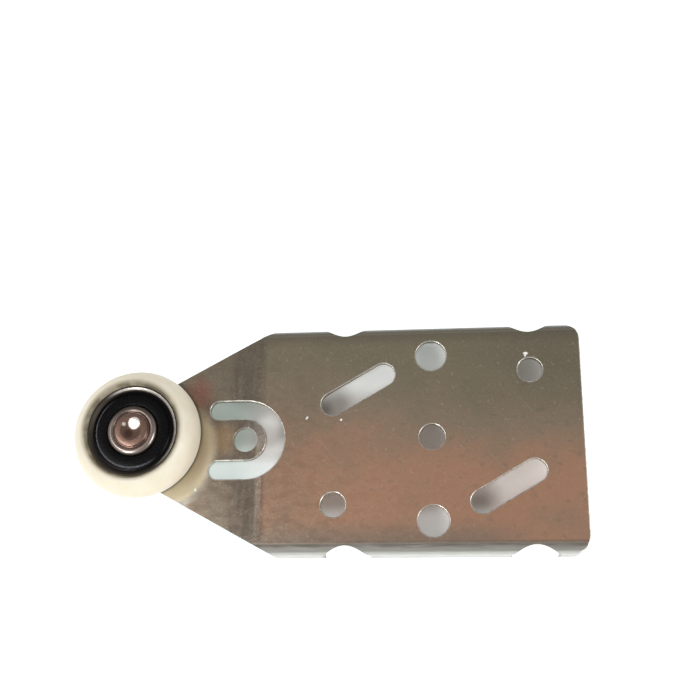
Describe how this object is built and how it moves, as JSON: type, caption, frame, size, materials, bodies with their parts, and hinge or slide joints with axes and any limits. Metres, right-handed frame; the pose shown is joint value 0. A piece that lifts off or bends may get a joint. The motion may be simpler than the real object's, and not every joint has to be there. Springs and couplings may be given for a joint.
{
  "type": "sliding door hanger roller",
  "caption": "Folded steel hanger plate with slanted adjusting slots and a spring tongue, carrying a nylon ball bearing roller on its neck, for a door that slides in a top track.",
  "frame": {"origin": "centre hole of the plate, on the face that lies on the door, which is also the roller's side", "axes": "+Z out of that face towards the roller's side, +X along the plate from the roller to the far end"},
  "size_m": [0.1234, 0.0564, 0.0241],
  "materials": {
    "zinc_steel": "zinc plated, satin",
    "rivet_steel": "bright, formed",
    "bearing_steel": "ground",
    "cage_steel": "pressed",
    "nylon": "moulded, satin",
    "seal_rubber": "moulded, matt"
  },
  "bodies": {
    "plate": {"hanger_plate": "zinc_steel", "axle_rivet": "rivet_steel", "spacer_bush": "zinc_steel", "bearing_inner_ring": "bearing_steel"},
    "wheel": {"roller_tyre": "nylon", "bearing_outer_ring": "bearing_steel", "front_seal": "seal_rubber", "rear_seal": "seal_rubber"},
    "cage": {"cage_front_half": "cage_steel", "cage_rear_half": "cage_steel", "cage_rivets": "cage_steel"},
    "ball_1_body": {"ball_1": "bearing_steel"},
    "ball_2_body": {"ball_2": "bearing_steel"},
    "ball_3_body": {"ball_3": "bearing_steel"},
    "ball_4_body": {"ball_4": "bearing_steel"},
    "ball_5_body": {"ball_5": "bearing_steel"},
    "ball_6_body": {"ball_6": "bearing_steel"},
    "ball_7_body": {"ball_7": "bearing_steel"}
  },
  "joints": [
    {"name": "wheel_spin", "type": "hinge", "parent": "plate", "child": "wheel", "pos_m": [-0.0712, 0, 0.00845], "axis": [0, 0, 1], "continuous": true},
    {"name": "cage_spin", "type": "hinge", "parent": "plate", "child": "cage", "pos_m": [-0.0712, 0, 0.0094], "axis": [0, 0, 1], "continuous": true},
    {"name": "ball_1_spin", "type": "hinge", "parent": "cage", "child": "ball_1_body", "pos_m": [-0.0637, 0, 0.0094], "axis": [0, 0, 1], "continuous": true},
    {"name": "ball_2_spin", "type": "hinge", "parent": "cage", "child": "ball_2_body", "pos_m": [-0.06652, 0.00586, 0.0094], "axis": [0, 0, 1], "continuous": true},
    {"name": "ball_3_spin", "type": "hinge", "parent": "cage", "child": "ball_3_body", "pos_m": [-0.07287, 0.00731, 0.0094], "axis": [0, 0, 1], "continuous": true},
    {"name": "ball_4_spin", "type": "hinge", "parent": "cage", "child": "ball_4_body", "pos_m": [-0.07796, 0.00325, 0.0094], "axis": [0, 0, 1], "continuous": true},
    {"name": "ball_5_spin", "type": "hinge", "parent": "cage", "child": "ball_5_body", "pos_m": [-0.07796, -0.00325, 0.0094], "axis": [0, 0, 1], "continuous": true},
    {"name": "ball_6_spin", "type": "hinge", "parent": "cage", "child": "ball_6_body", "pos_m": [-0.07287, -0.00731, 0.0094], "axis": [0, 0, 1], "continuous": true},
    {"name": "ball_7_spin", "type": "hinge", "parent": "cage", "child": "ball_7_body", "pos_m": [-0.06652, -0.00586, 0.0094], "axis": [0, 0, 1], "continuous": true}
  ],
  "couplings": [
    {"joint": "cage_spin", "follows": "wheel_spin", "ratio": 0.6323},
    {"joint": "ball_1_spin", "follows": "wheel_spin", "ratio": 1.7573},
    {"joint": "ball_2_spin", "follows": "wheel_spin", "ratio": 1.7573},
    {"joint": "ball_3_spin", "follows": "wheel_spin", "ratio": 1.7573},
    {"joint": "ball_4_spin", "follows": "wheel_spin", "ratio": 1.7573},
    {"joint": "ball_5_spin", "follows": "wheel_spin", "ratio": 1.7573},
    {"joint": "ball_6_spin", "follows": "wheel_spin", "ratio": 1.7573},
    {"joint": "ball_7_spin", "follows": "wheel_spin", "ratio": 1.7573}
  ]
}
